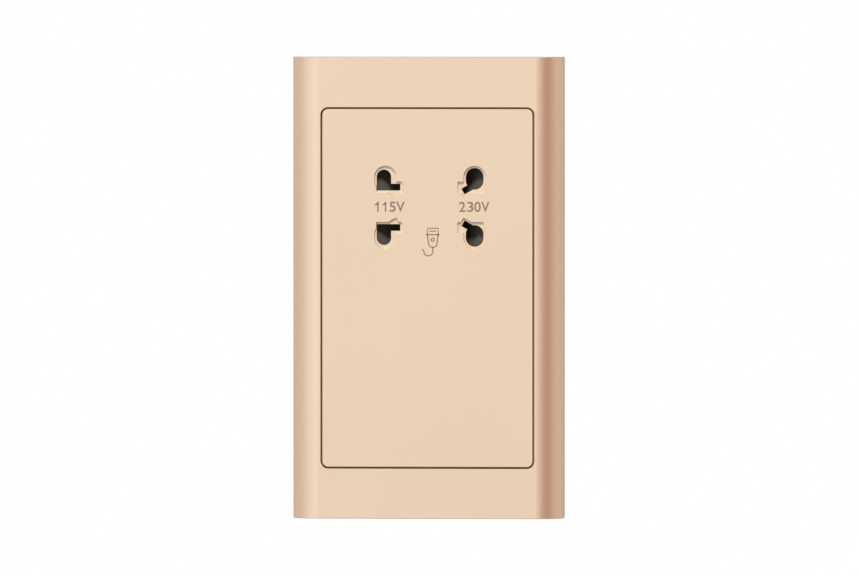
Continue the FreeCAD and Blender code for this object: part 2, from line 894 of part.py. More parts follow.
core_e = new_body("core_e_stack")
split = core_top - leg
e_outline = [
    (-core_half, core_low),
    (core_half, core_low),
    (core_half, split),
    (core_half - leg, split),
    (core_half - leg, core_low + leg),
    (leg, core_low + leg),
    (leg, split),
    (-leg, split),
    (-leg, core_low + leg),
    (leg - core_half, core_low + leg),
    (leg - core_half, split),
    (-core_half, split),
]
slab(core_e, "ELamination", [e_outline], core_front, core_back)
drill(core_e, "EHoles", core_spots[2:], size.joint_screw + 0.2, core_front, core_back)
core_i = new_body("core_i_stack")
slab(core_i, "ILamination", [box(-core_half, split, core_half, core_top)], core_front, core_back)
drill(core_i, "IHoles", core_spots[:2], size.joint_screw + 0.2, core_front, core_back)

bobbin = new_body("transformer_bobbin")
bobbin_low = core_low + leg + size.core_gap
bobbin_high = split - size.core_gap
bobbin_middle = (bobbin_low + bobbin_high) / 2
tube_x = leg + size.core_gap + size.bobbin_wall
tube_front = core_front - size.core_gap - size.bobbin_wall
tube_back = core_back + size.core_gap + size.bobbin_wall
coil_x = leg + coil_build
coil_front = core_front - coil_build
coil_back = core_back + coil_build


def level(body, name, outline, low, high):
    """Adds an outline drawn in plan, from one Z to a higher one."""
    sketch = sketch_on(body, name, "XY_Plane", low)
    for path in outline:
        trace(sketch, path)
    return pad(body, sketch, high - low)


flange_plan = rounded(-coil_x, coil_front, coil_x, coil_back, as_size(1.5))
tube_plan = rounded(-tube_x, tube_front, tube_x, tube_back, as_size(0.8))
hole_x = leg + size.core_gap
hole_front = core_front - size.core_gap
hole_back = core_back + size.core_gap
level(bobbin, "BobbinTube", [tube_plan], bobbin_low, bobbin_high)
level(bobbin, "LowFlange", [flange_plan], bobbin_low, bobbin_low + size.bobbin_wall)
level(bobbin, "HighFlange", [flange_plan], bobbin_high - size.bobbin_wall, bobbin_high)
level(
    bobbin, "ChamberWall", [flange_plan],
    bobbin_middle - size.bobbin_wall / 2, bobbin_middle + size.bobbin_wall / 2,
)
leg_sketch = sketch_on(bobbin, "LegHole", "XY_Plane", bobbin_low)
trace(leg_sketch, box(-hole_x, hole_front, hole_x, hole_back))
cut(bobbin, leg_sketch, bobbin_high - bobbin_low, backward=True)


def winding(name, low, high):
    body = new_body(name)
    outside = rounded(
        0.5 - coil_x, coil_front + 0.5, coil_x - 0.5, coil_back - 0.5, coil_build / 2,
    )
    inside = rounded(
        -tube_x - 0.05, tube_front - 0.05, tube_x + 0.05, tube_back + 0.05, as_size(0.8),
    )
    level(body, name + "Turns", [outside, inside], low, high)
    return body


primary = winding(
    "primary_winding", bobbin_low + size.bobbin_wall + 0.1, bobbin_middle - size.bobbin_wall / 2 - 0.1,
)
secondary = winding(
    "secondary_winding", bobbin_middle + size.bobbin_wall / 2 + 0.1, bobbin_high - size.bobbin_wall - 0.1,
)

cutout = new_body("thermal_cutout")
cutout_half = leg * 0.9
cutout_reach = (core_back - core_front) * 0.175
cutout_side = lead_y + size.lead_step
cutout_y = cutout_side - cutout_reach / 2
level(
    cutout, "CutoutCase",
    [rounded(-cutout_half, cutout_y - cutout_reach, cutout_half, cutout_y + cutout_reach, size.tub_wall / 2)],
    core_top, core_top + size.cutout_height,
)

# Supply terminals: drilled brass blocks in the bays, wires enter from above and screws face the rear

terminal_front = size.shallow_depth
terminal_back = cradle_back - 1.2
terminal_low = bay_low + 0.2
terminal_high = tub_half - 0.8
wire_y = terminal_front + 1.4 + size.wire_radius
screw_z = (terminal_low + terminal_high) / 2


def terminal(name, spot):
    body = new_body(name)
    half = size.terminal_width / 2
    slab(
        body, name + "Block", [rounded(spot - half, terminal_low, spot + half, terminal_high, as_size(0.6))],
        terminal_front, terminal_back,
    )
    wire = sketch_on(body, name + "Wire", "XY_Plane", terminal_high)
    circle(wire, spot, wire_y, size.wire_radius)
    cut(body, wire, terminal_high - terminal_low)
    drill(body, name + "Thread", [(spot, screw_z)], size.fixing_radius + 0.05, wire_y, terminal_back)
    tail = box(spot - tail_half, tail_z - 0.5, spot + tail_half, tail_z + 0.5)
    slab(body, name + "Tail", [tail], shallow_floor - 4, terminal_front)
    return body


terminals = [
    terminal("terminal_neutral", bay_spots[0]),
    terminal("terminal_earth", bay_spots[1]),
    terminal("terminal_live", bay_spots[2]),
]

# Leads: insulated wires in straight runs along X, Y and Z with round bends


lead_bend = size.lead_radius * 1.5


def move_to(shape, place):
    for axis, value in zip("xyz", place):
        bind(shape, f"Placement.Base.{axis}", value)


def lead(name, *points):
    """A wire through the points; each step runs along one axis."""
    points = [[as_size(value) for value in point] for point in points]
    runs = []
    for start, end in zip(points, points[1:]):
        steps = [far.value - near.value for near, far in zip(start, end)]
        axis = max(range(3), key=lambda index: abs(steps[index]))
        runs.append((axis, 1 if steps[axis] > 0 else -1))
    units = [Vector(1, 0, 0), Vector(0, 1, 0), Vector(0, 0, 1)]
    pieces = []
    for index, (axis, sign) in enumerate(runs):
        first = as_size(0) if index == 0 else lead_bend
        last = as_size(0) if index == len(runs) - 1 else lead_bend
        near = points[index]
        length = (points[index + 1][axis] - near[axis]) * sign - first - last
        straight = doc.addObject("Part::Cylinder", f"{name}_run{index}")
        straight.Placement = FreeCAD.Placement(
            Vector(0, 0, 0), FreeCAD.Rotation(Vector(0, 0, 1), units[axis] * sign),
        )
        bind(straight, "Radius", size.lead_radius)
        bind(straight, "Height", length)
        begin = list(near)
        begin[axis] = begin[axis] + first * sign
        move_to(straight, begin)
        pieces.append(straight)
        if index == 0:
            continue
        before_axis, before_sign = runs[index - 1]
        arriving = units[before_axis] * before_sign
        leaving = units[axis] * sign
        bend = doc.addObject("Part::Torus", f"{name}_bend{index}")
        bend.Angle3 = 90
        bend.Placement = FreeCAD.Placement(
            Vector(0, 0, 0), FreeCAD.Rotation(-leaving, arriving, arriving.cross(leaving), "XYZ"),
        )
        bind(bend, "Radius1", lead_bend)
        bind(bend, "Radius2", size.lead_radius)
        middle = list(near)
        middle[before_axis] = middle[before_axis] - lead_bend * before_sign
        middle[axis] = middle[axis] + lead_bend * sign
        move_to(bend, middle)
        pieces.append(bend)
    if len(pieces) == 1:
        pieces[0].Label = name
        return pieces[0]
    whole = doc.addObject("Part::MultiFuse", name)
    whole.Label = name
    whole.Shapes = pieces
    return whole


tail_edge = tail_half + 0.05
run_z = core_top + size.cutout_height / 2
link_z = run_z + size.lead_step
rear_y = coil_back + size.lead_radius + 0.1
front_y = coil_front - size.lead_radius - 0.4
primary_z = (bobbin_low + bobbin_middle) / 2
secondary_z = (bobbin_high + bobbin_middle) / 2
turns_back = coil_back - 0.45
turns_front = coil_front + 0.45
cutout_end = cutout_half + 0.05
tag_front = strip_front - size.lead_radius - 0.05
tag_end = carrier_low - 0.3
upper_tag = (tail_left + tail_right) / 2
lower_tag = (contact_left + contact_right) / 2
neutral_x = leg * -1.5
cutout_x = leg * -1.1
winding_x = leg * 1.2
common_x = leg * 0.7
leads = [
    lead(
        "lead_live",
        (bay_spots[2] + tail_edge, lead_y, tail_z),
        (lead_x, lead_y, tail_z),
        (lead_x, lead_y, run_z),
        (lead_x, cutout_side, run_z),
        (cutout_end, cutout_side, run_z),
    ),
    lead(
        "lead_cutout",
        (-cutout_end, cutout_y, run_z),
        (cutout_x, cutout_y, run_z),
        (cutout_x, rear_y, run_z),
        (cutout_x, rear_y, primary_z),
        (cutout_x, turns_back, primary_z),
    ),
    lead(
        "lead_neutral",
        (bay_spots[0] - tail_edge, lead_y, tail_z),
        (-lead_x, lead_y, tail_z),
        (-lead_x, lead_y, run_z),
        (-lead_x, rear_y, run_z),
        (neutral_x, rear_y, run_z),
        (neutral_x, rear_y, primary_z),
        (neutral_x, turns_back, primary_z),
    ),
    lead(
        "lead_secondary_115v",
        (-winding_x, turns_front, secondary_z),
        (-winding_x, front_y, secondary_z),
        (-winding_x, front_y, link_z),
        (size.socket_offset - upper_tag, front_y, link_z),
        (size.socket_offset - upper_tag, tag_front, link_z),
        (size.socket_offset - upper_tag, tag_front, tag_end),
    ),
    lead(
        "lead_secondary_230v",
        (winding_x, turns_front, secondary_z),
        (winding_x, front_y, secondary_z),
        (winding_x, front_y, run_z),
        (size.socket_offset + upper_tag, front_y, run_z),
        (size.socket_offset + upper_tag, tag_front, run_z),
        (size.socket_offset + upper_tag, tag_front, tag_end),
    ),
    lead(
        "lead_secondary_common",
        (common_x, turns_front, secondary_z),
        (common_x, front_y, secondary_z),
        (common_x, front_y, link_z),
        (size.socket_offset + lower_tag + 0.8, front_y, link_z),
        (size.socket_offset + lower_tag + 0.8, tag_front, link_z),
        (size.socket_offset + lower_tag + 0.8, tag_front, tag_end),
    ),
    lead(
        "lead_common_link",
        (size.socket_offset - lower_tag - 0.8, tag_front, tag_end - size.lead_radius),
        (size.socket_offset + lower_tag - 0.1, tag_front, tag_end - size.lead_radius),
    ),
]

# Screws: turned sections along Y with a driver slot across the head


def turned(name, x, z, radius, start, end):
    shape = doc.addObject("Part::Cylinder", name)
    shape.Placement = FreeCAD.Placement(Vector(0, 0, 0), FreeCAD.Rotation(Vector(1, 0, 0), -90))
    bind(shape, "Radius", radius)
    bind(shape, "Height", as_size(end) - start)
    bind(shape, "Placement.Base.x", x)
    bind(shape, "Placement.Base.y", start)
    bind(shape, "Placement.Base.z", z)
    return shape


def screw(name, x, z, sections, slot_start, slot_end, head):
    pieces = []
    for number, (radius, start, end) in enumerate(sections, 1):
        pieces.append(turned(f"{name}_section{number}", x, z, radius, start, end))
    whole = doc.addObject("Part::MultiFuse", name + "_blank")
    whole.Shapes = pieces
    slot = doc.addObject("Part::Box", name + "_slot")
    bind(slot, "Length", head * 2 + 1)
    bind(slot, "Width", as_size(slot_end) - slot_start)
    slot.Height = 0.9
    bind(slot, "Placement.Base.x", as_size(x) - head - 0.5)
    bind(slot, "Placement.Base.y", slot_start)
    bind(slot, "Placement.Base.z", as_size(z) - 0.45)
    slotted = doc.addObject("Part::Cut", name)
    slotted.Base = whole
    slotted.Tool = slot
    return slotted


def group(label, members):
    together = doc.addObject("Part::Compound", label)
    together.Label = label
    together.Links = members
    return together


fixing_screws = []
for number, row in enumerate(fixing_rows, 1):
    top = yoke_front - size.head_height
    fixing_screws.append(screw(
        f"fixing_screw{number}", 0, row,
        [
            (size.head_radius, top, yoke_front),
            (size.fixing_radius - 0.3, yoke_front, 0),
            (size.fixing_radius, 0, size.fixing_length),
        ],
        top - 0.5, top + size.head_height / 2, size.head_radius,
    ))

joint_screws = []
for number, (x, z) in enumerate(joint_spots, 1):
    joint_screws.append(screw(
        f"housing_screw{number}", x, z,
        [
            (size.joint_screw, front + 2, size.flange_thickness),
            (size.joint_screw * 2, size.flange_thickness, size.flange_thickness + 1.8),
        ],
        size.flange_thickness + 1, size.flange_thickness + 2.5, size.joint_screw * 2,
    ))

core_screws = []
for number, (x, z) in enumerate(core_spots, 1):
    core_screws.append(screw(
        f"transformer_screw{number}", x, z,
        [
            (size.joint_screw, core_front, core_back + (deep_floor - core_back) * 0.7),
            (size.joint_screw * 2, core_front - 1.8, core_front),
        ],
        core_front - 2.5, core_front - 1, size.joint_screw * 2,
    ))

terminal_screws = []
for number, spot in enumerate(bay_spots, 1):
    terminal_screws.append(screw(
        f"terminal_screw{number}", spot, screw_z,
        [
            (size.fixing_radius, wire_y + size.wire_radius + 0.2, terminal_back + 0.3),
            (size.fixing_radius * 1.75, terminal_back + 0.3, terminal_back + 2.5),
        ],
        terminal_back + 1.4, terminal_back + 3, size.fixing_radius * 1.75,
    ))

nodes = [front_frame, centre_panel, mounting_plate, rear_housing, contact_carrier]
nodes += contacts + shutters + springs
nodes += [core_e, core_i, bobbin, primary, secondary, cutout]
nodes += terminals
nodes += leads
nodes.append(group("fixing_screws", fixing_screws))
nodes.append(group("housing_screws", joint_screws))
nodes.append(group("transformer_screws", core_screws))
nodes.append(group("terminal_screws", terminal_screws))

doc.recompute()

# Every feature must have built, every cut must remove material, and every piece must be a sound solid

for item in doc.Objects:
    if "Invalid" in item.State or "Error" in item.State:
        raise RuntimeError(f"{item.Name} did not build: {item.State}")
for item in doc.Objects:
    if item.TypeId == "PartDesign::Body":
        volume = 0.0
        for feature in item.Group:
            if not hasattr(feature, "Profile") and feature.TypeId != "PartDesign::Fillet":
                continue
            grown = feature.Shape.Volume - volume
            if feature.TypeId == "PartDesign::Pad" and grown < 0.01:
                raise RuntimeError(f"{feature.Name} adds nothing")
            if feature.TypeId == "PartDesign::Pocket" and grown > -0.01:
                raise RuntimeError(f"{feature.Name} removes nothing")
            volume = feature.Shape.Volume
for node in nodes:
    if node.Shape.isNull() or not node.Shape.isValid() or node.Shape.Volume <= 0:
        raise RuntimeError(f"{node.Label} is not a sound solid")
    node.Shape.exportStep(f"parts/{node.Label}.step")
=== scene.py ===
import math

import bpy
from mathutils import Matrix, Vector


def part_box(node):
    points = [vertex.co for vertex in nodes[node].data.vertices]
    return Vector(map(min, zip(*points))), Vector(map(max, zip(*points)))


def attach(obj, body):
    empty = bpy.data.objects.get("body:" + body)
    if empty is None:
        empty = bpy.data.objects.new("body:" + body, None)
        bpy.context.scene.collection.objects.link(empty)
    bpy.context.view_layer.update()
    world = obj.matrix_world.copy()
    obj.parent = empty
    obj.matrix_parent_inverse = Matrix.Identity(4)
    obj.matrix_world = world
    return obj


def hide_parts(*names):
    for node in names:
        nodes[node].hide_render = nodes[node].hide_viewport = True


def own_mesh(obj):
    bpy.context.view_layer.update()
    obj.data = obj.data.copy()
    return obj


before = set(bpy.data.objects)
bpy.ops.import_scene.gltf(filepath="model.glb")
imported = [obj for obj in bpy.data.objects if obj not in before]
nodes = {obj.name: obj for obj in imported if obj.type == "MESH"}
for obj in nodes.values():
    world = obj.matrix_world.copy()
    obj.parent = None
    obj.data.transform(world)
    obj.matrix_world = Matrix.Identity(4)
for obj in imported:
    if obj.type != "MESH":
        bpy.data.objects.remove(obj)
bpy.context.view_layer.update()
scene = bpy.context.scene
scene.view_settings.view_transform = "Standard"

MM = 0.001
panel_low, panel_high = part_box("centre_panel")
PANEL_FRONT = panel_low[1]


# General helpers

def tint(colour, factor):
    return tuple(min(channel * factor, 1.0) for channel in colour)


def grey(level):
    return (level, level, level)


def add_object(name, data):
    item = bpy.data.objects.new(name, data)
    scene.collection.objects.link(item)
    return item


def new_mesh(name, points, faces):
    mesh = bpy.data.meshes.new(name)
    mesh.from_pydata(points, [], faces)
    return mesh


# Node helpers

# Almost all of a noise lies between these two values
NOISE_LOW = 0.3
NOISE_HIGH = 0.7


class Tree:
    """A node tree, with short ways to add nodes to it."""

    def __init__(self, tree):
        self.tree = tree

    def link(self, source, target):
        self.tree.links.new(source, target)

    def feed(self, socket, value):
        """Links another node's output to a socket, or sets a plain value on it."""
        if isinstance(value, bpy.types.NodeSocket):
            self.link(value, socket)
        else:
            socket.default_value = value

    def fill(self, node, inputs):
        """Values or links for a node's named inputs. In a name _ stands for a space."""
        for name, value in inputs.items():
            self.feed(node.inputs[name.replace("_", " ")], value)

    def add(self, kind, **inputs):
        node = self.tree.nodes.new(kind)
        self.fill(node, inputs)
        return node

    def maths(self, operation, *values):
        node = self.add("ShaderNodeMath")
        node.operation = operation
        for socket, value in zip(node.inputs, values):
            self.feed(socket, value)
        return node.outputs["Value"]

    def parts(self, vector):
        node = self.add("ShaderNodeSeparateXYZ", Vector=vector)
        return node.outputs["X"], node.outputs["Y"], node.outputs["Z"]

    def ramp(self, source, stops):
        """A colour that follows the source's value between stops of a position and a colour each."""
        node = self.add("ShaderNodeValToRGB", Fac=source)
        elements = node.color_ramp.elements
        while len(elements) < len(stops):
            elements.new(0.5)
        for element, (position, colour) in zip(elements, stops):
            element.position = position
            element.color = (*colour, 1.0)
        return node.outputs["Color"]

    def for_camera(self, other, seen):
        """A shader that is the second one to the camera's own rays and the first one to all others."""
        rays = self.add("ShaderNodeLightPath")
        node = self.add("ShaderNodeMixShader", Fac=rays.outputs["Is Camera Ray"])
        self.link(other, node.inputs[1])
        self.link(seen, node.inputs[2])
        return node.outputs["Shader"]


class Shader(Tree):
    """A material with a Principled shader."""

    def __init__(self, name):
        self.material = bpy.data.materials.new(name)
        self.material.use_nodes = True
        super().__init__(self.material.node_tree)
        self.shader = self.tree.nodes["Principled BSDF"]
        coordinates = self.add("ShaderNodeTexCoord")
        self.place = coordinates.outputs["Object"]
        self.facing = coordinates.outputs["Normal"]

    def set(self, **inputs):
        self.fill(self.shader, inputs)

    def stretch(self, x, y, z):
        node = self.add("ShaderNodeMapping", Vector=self.place, Scale=(x, y, z))
        return node.outputs["Vector"]

    def noise(self, scale, detail=2.0, rough=0.5, vector=None):
        place = self.place if vector is None else vector
        node = self.add("ShaderNodeTexNoise", Vector=place, Scale=scale, Detail=detail, Roughness=rough)
        return node.outputs["Fac"]

    def bands(self, scale, along, distortion=0.0, profile="SIN"):
        node = self.add(
            "ShaderNodeTexWave", Vector=self.place, Scale=scale, Distortion=distortion, Detail=1.0)
        node.bands_direction = along
        node.wave_profile = profile
        return node.outputs["Fac"]

    def spread(self, source, low, high, start=NOISE_LOW, end=NOISE_HIGH):
        """Low up to the source's value start, high from its value end on, and a straight line between."""
        node = self.add(
            "ShaderNodeMapRange", Value=source, From_Min=start, From_Max=end, To_Min=low, To_Max=high)
        return node.outputs["Result"]

    def mottle(self, source, colour, low, high, start=NOISE_LOW, end=NOISE_HIGH):
        """The colour times a factor that goes from low to high as the source goes from start to end."""
        return self.ramp(source, [(start, tint(colour, low)), (end, tint(colour, high))])

    def mix(self, factor, first, second):
        """The first colour where the factor is 0, and the second one where it is 1."""
        node = self.add("ShaderNodeMix")
        node.data_type = "RGBA"
        self.link(factor, node.inputs["Factor"])
        self.link(first, node.inputs["A"])
        self.link(second, node.inputs["B"])
        return node.outputs["Result"]

    def bump(self, source, strength, height):
        node = self.add("ShaderNodeBump", Height=source, Strength=strength, Distance=height)
        self.set(Normal=node.outputs["Normal"])


# Champagne lacquer of the frame and the panel, with painted shade in gaps, recesses, tilted faces and on
# roundings

CHAMPAGNE = (0.823, 0.645, 0.479)
# Painted shade colour on roundings that look up, which dulls their glint
RIM_SHADE = (0.42, 0.36, 0.31)
# Painted shade colours: the frame's in the gap round the panel, the panel's in its gaps, recesses and tilted
# faces
FRAME_SHADE = (0.9, 0.55, 0.3)
PANEL_SHADE = (0.295, 0.17, 0.085)
# Depth over which the painted shade in gaps and recesses comes in
SHADE_FADE = 0.5 * MM
# The frame's opening lies this far or less outside the panel's box, across and up
OPENING_ACROSS = 0.6 * MM
OPENING_UP = 0.5 * MM
# Upward part of a face's normal, 0 on an upright face and 1 on a level one, where a change starts and ends
SHADE_TILT = (0.3, 0.8)
RIM_START = (0.05, 0.3)
RIM_END = (0.9, 0.99)
# A face that looks up gets painted shade with this share of its tilt
UPPER_SHARE = 0.52
# Roughness that the painted shade and the painted rim shade add
SHADE_MATT = 0.6
RIM_MATT = 0.5
CLOUD_SHARE = 0.35


def depth_shade(paint, depth, reach):
    """Painted shade in gaps and recesses: 0 on the panel's front, and 1 well below a depth behind it.

    Where a reach across and up from the plate's middle is given, it is 0 outside of that.
    """
    x, y, z = paint.parts(paint.place)
    start = PANEL_FRONT + depth
    painted_shade = paint.spread(y, 0.0, 1.0, start, start + SHADE_FADE)
    if reach:
        for offset, limit in zip((x, z), reach):
            near = paint.maths("LESS_THAN", paint.maths("ABSOLUTE", offset), limit)
            painted_shade = paint.maths("MULTIPLY", painted_shade, near)
    return painted_shade


def shaded(paint, upward, shade):
    """Painted shade on a tilted face: up to shade where it looks down, and less where it looks up."""
    downward = paint.maths("MULTIPLY", upward, -1.0)
    lessened = paint.maths("MULTIPLY", upward, UPPER_SHARE)
    return paint.spread(paint.maths("MAXIMUM", lessened, downward), 0.0, shade, *SHADE_TILT)


def rounded(paint, upward, rim_shade):
    """How much painted rim shade shows: up to the given share on roundings that look up, and none on level
    faces.
    """
    starting = paint.spread(upward, 0.0, rim_shade, *RIM_START)
    ending = paint.spread(upward, 1.0, 0.0, *RIM_END)
    return paint.maths("MULTIPLY", starting, ending)


def lacquer(name, shade_colour, depth, shade, rim_shade, reach=None):
    """Satin champagne lacquer: fine metal flake under a smooth coat.

    It turns to a painted shade colour deep in gaps and recesses and on tilted faces, and to a painted rim
    shade colour on roundings that look up. The painted shade and rim shade are more matt as well.
    """
    paint = Shader(name)
    flake = paint.noise(scale=5200, detail=1.0)
    cloud = paint.noise(scale=18)
    speckle = paint.maths("MULTIPLY_ADD", cloud, CLOUD_SHARE, flake)
    face = paint.mottle(speckle, CHAMPAGNE, low=0.955, high=1.045, start=0.35, end=1.0)
    # Painted shade colour, mottled
    mottled_shade = paint.mottle(cloud, shade_colour, low=0.95, high=1.05)
    # Painted rim shade colour, mottled
    rim = paint.mottle(cloud, RIM_SHADE, low=0.95, high=1.05)
    upward = paint.parts(paint.facing)[2]
    # Painted shade on tilted faces, and painted rim shade on roundings that look up
    dark = shaded(paint, upward, shade)
    edge = rounded(paint, upward, rim_shade)
    # Painted shade: deep in gaps and recesses, and on tilted faces
    painted_shade = paint.maths("MAXIMUM", depth_shade(paint, depth, reach), dark)
    satin = paint.spread(flake, low=0.36, high=0.42)
    matt = paint.maths("MULTIPLY_ADD", dark, SHADE_MATT, satin)
    paint.set(
        Base_Color=paint.mix(edge, paint.mix(painted_shade, face, mottled_shade), rim),
        Roughness=paint.maths("MULTIPLY_ADD", edge, RIM_MATT, matt),
        Metallic=0.8,
    )
    paint.bump(flake, strength=0.06, height=0.02 * MM)
    return paint.material


# Other materials

def moulding(name, colour, gloss, grain=1800):
    """Injection-moulded plastic with a fine spark-eroded grain."""
    plastic = Shader(name)
    fine = plastic.noise(scale=grain, detail=3.0, rough=0.6)
    broad = plastic.noise(scale=55, detail=3.0)
    plastic.set(
        Base_Color=plastic.mottle(broad, colour, low=0.9, high=1.1),
        Roughness=plastic.spread(fine, low=gloss - 0.06, high=gloss + 0.06),
    )
    plastic.bump(fine, strength=0.25, height=0.03 * MM)
    return plastic.material


def metal(name, colour, gloss, stretch):
    """Drawn or machined metal with fine lines along the working direction."""
    item = Shader(name)
    lines = item.noise(scale=1.0, vector=item.stretch(*stretch))
    stain = item.noise(scale=160, detail=4.0, rough=0.6)
    item.set(
        Base_Color=item.mottle(stain, colour, low=0.88, high=1.12),
        Roughness=item.spread(lines, low=gloss - 0.07, high=gloss + 0.09),
        Metallic=1.0,
    )
    item.bump(lines, strength=0.15, height=0.02 * MM)
    return item.material


def laminations():
    """Sheet edges half a millimetre apart with a blue-grey oxide and a touch of rust."""
    steel = Shader("lamination_steel")
    sheets = steel.bands(scale=620, along="Y", profile="SAW")
    rust = steel.noise(scale=120, detail=5.0, rough=0.65)
    steel.set(
        Base_Color=steel.ramp(rust, [
            (0.35, (0.15, 0.155, 0.17)),
            (0.62, (0.2, 0.2, 0.21)),
            (0.75, (0.24, 0.16, 0.11)),
        ]),
        Roughness=steel.spread(rust, low=0.38, high=0.6),
        Metallic=0.7,
    )
    steel.bump(sheets, strength=0.5, height=0.12 * MM)
    return steel.material


def winding(name, colour):
    """Layered enamelled wire under clear tape."""
    coil = Shader(name)
    wires = coil.bands(scale=980, along="Z", distortion=0.6)
    layers = coil.noise(scale=240, detail=3.0, vector=coil.stretch(1.0, 1.0, 9.0))
    coil.set(
        Base_Color=coil.mottle(layers, colour, low=0.72, high=1.2),
        Roughness=coil.spread(layers, low=0.25, high=0.42),
        Metallic=0.55,
        Coat_Weight=0.4,
    )
    coil.bump(wires, strength=0.6, height=0.1 * MM)
    return coil.material


def insulation(name, colour):
    """Smooth coloured plastic around a lead."""
    lead = Shader(name)
    skin = lead.noise(scale=900)
    lead.set(
        Base_Color=lead.mottle(skin, colour, low=0.88, high=1.12),
        Roughness=lead.spread(skin, low=0.36, high=0.48),
    )
    lead.bump(skin, strength=0.2, height=0.03 * MM)
    return lead.material


def printing_ink():
    """Brown ink of the printed marks."""
    ink = Shader("printed_mark")
    blots = ink.noise(scale=2400)
    ink.set(
        Base_Color=ink.ramp(blots, [
            (NOISE_LOW, (0.205, 0.142, 0.093)),
            (NOISE_HIGH, (0.24, 0.165, 0.11)),
        ]),
        Roughness=ink.spread(blots, low=0.5, high=0.62),
    )
    ink.bump(blots, strength=0.1, height=0.01 * MM)
    return ink.material


def floor_paper():
    """Pale paper that throws little light back onto the part."""
    paper = Shader("floor_paper")
    fibre = paper.noise(scale=60, detail=4.0)
    paper.set(
        Base_Color=paper.ramp(fibre, [(NOISE_LOW, grey(0.78)), (NOISE_HIGH, grey(0.82))]),
        Roughness=0.8,
    )
    dim = paper.add("ShaderNodeBsdfDiffuse", Color=(*grey(0.2), 1.0))
    surface = paper.for_camera(dim.outputs["BSDF"], paper.shader.outputs["BSDF"])
    paper.link(surface, paper.tree.nodes["Material Output"].inputs["Surface"])
    return paper.material


# Which material goes on which CAD nodes

# Reach of the painted shade in the frame's gap
opening = (panel_high[0] + OPENING_ACROSS, panel_high[2] + OPENING_UP)
spring_wire = metal("spring_wire", (0.56, 0.56, 0.57), gloss=0.25, stretch=(4000, 400, 400))
FINISHES = (
    (
        # The frame: painted shade in the gap round the panel, and painted rim shade on its upper roundings
        lacquer("champagne_frame", FRAME_SHADE, depth=0.4 * MM, shade=0.0, rim_shade=0.9, reach=opening),
        ["front_frame"],
    ),
    (
        # The panel: painted shade in its gaps, recesses and tilted faces, and some painted rim shade
        lacquer("champagne_panel", PANEL_SHADE, depth=1.1 * MM, shade=0.9, rim_shade=0.5),
        ["centre_panel"],
    ),
    (
        moulding("grey_moulding", grey(0.42), gloss=0.5),
        ["mounting_plate", "contact_carrier"],
    ),
    (
        moulding("black_moulding", (0.028, 0.028, 0.03), gloss=0.46),
        ["rear_housing", "thermal_cutout"],
    ),
    (
        moulding("shutter_plastic", (0.112, 0.1, 0.088), gloss=0.42, grain=2600),
        ["shutter_115v", "shutter_230v"],
    ),
    (
        metal("contact_strip", (0.74, 0.5, 0.24), gloss=0.24, stretch=(400, 4000, 400)),
        ["contact_115v_upper", "contact_115v_lower", "contact_230v_upper", "contact_230v_lower"],
    ),
    (
        spring_wire,
        ["shutter_spring_115v", "shutter_spring_230v"],
    ),
    (
        laminations(),
        ["core_e_stack", "core_i_stack"],
    ),
    (
        moulding("bobbin_nylon", (0.72, 0.68, 0.58), gloss=0.45),
        ["transformer_bobbin"],
    ),
    (
        winding("winding_primary", (0.52, 0.22, 0.07)),
        ["primary_winding"],
    ),
    (
        winding("winding_secondary", (0.62, 0.3, 0.09)),
        ["secondary_winding"],
    ),
    (
        metal("terminal_brass", (0.72, 0.5, 0.2), gloss=0.3, stretch=(300, 300, 3800)),
        ["terminal_live", "terminal_neutral", "terminal_earth"],
    ),
    (
        metal("plated_screw", (0.62, 0.61, 0.58), gloss=0.28, stretch=(2600, 300, 2600)),
        ["terminal_screws", "fixing_screws", "housing_screws", "transformer_screws"],
    ),
    (
        insulation("brown_lead", (0.15, 0.055, 0.022)),
        ["lead_live", "lead_cutout"],
    ),
    (
        insulation("blue_lead", (0.025, 0.13, 0.45)),
        ["lead_neutral"],
    ),
    (
        insulation("yellow_lead", (0.7, 0.48, 0.03)),
        ["lead_secondary_115v"],
    ),
    (
        insulation("red_lead", (0.48, 0.025, 0.025)),
        ["lead_secondary_230v"],
    ),
    (
        insulation("white_lead", (0.68, 0.68, 0.66)),
        ["lead_secondary_common", "lead_common_link"],
    ),
)
for material, names in FINISHES:
    for name in names:
        materials = nodes[name].data.materials
        materials.clear()
        materials.append(material)

# Printed marks on the panel: places and sizes are in millimetres from the plate's middle

INK_THICKNESS = 0.012 * MM
PRINT_FRONT = PANEL_FRONT - INK_THICKNESS
GLYPH_STEPS = 6
GLYPH_WEIGHT = 0.017
ink = printing_ink()


def on_panel(item):
    """Hands a printed mark to the unit, with the ink as its material."""
    item.data.materials.append(ink)
    bpy.context.view_layer.update()
    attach(item, "unit")


def printed_glyph(name, letter, left, right, low, high):
    """One character fitted to a box on the panel's face."""
    curve = bpy.data.curves.new(name, "FONT")
    curve.body = letter
    curve.resolution_u = GLYPH_STEPS
    curve.offset = GLYPH_WEIGHT
    glyph = add_object(name, curve)
    bpy.context.view_layer.update()
    xs = [corner[0] for corner in glyph.bound_box]
    ys = [corner[1] for corner in glyph.bound_box]
    across = (right - left) * MM / (max(xs) - min(xs))
    up = (high - low) * MM / (max(ys) - min(ys))
    glyph.rotation_euler = (math.pi / 2, 0, 0)
    glyph.scale = (across, up, 1.0)
    glyph.location = (left * MM - min(xs) * across, PRINT_FRONT, low * MM - min(ys) * up)
    on_panel(glyph)


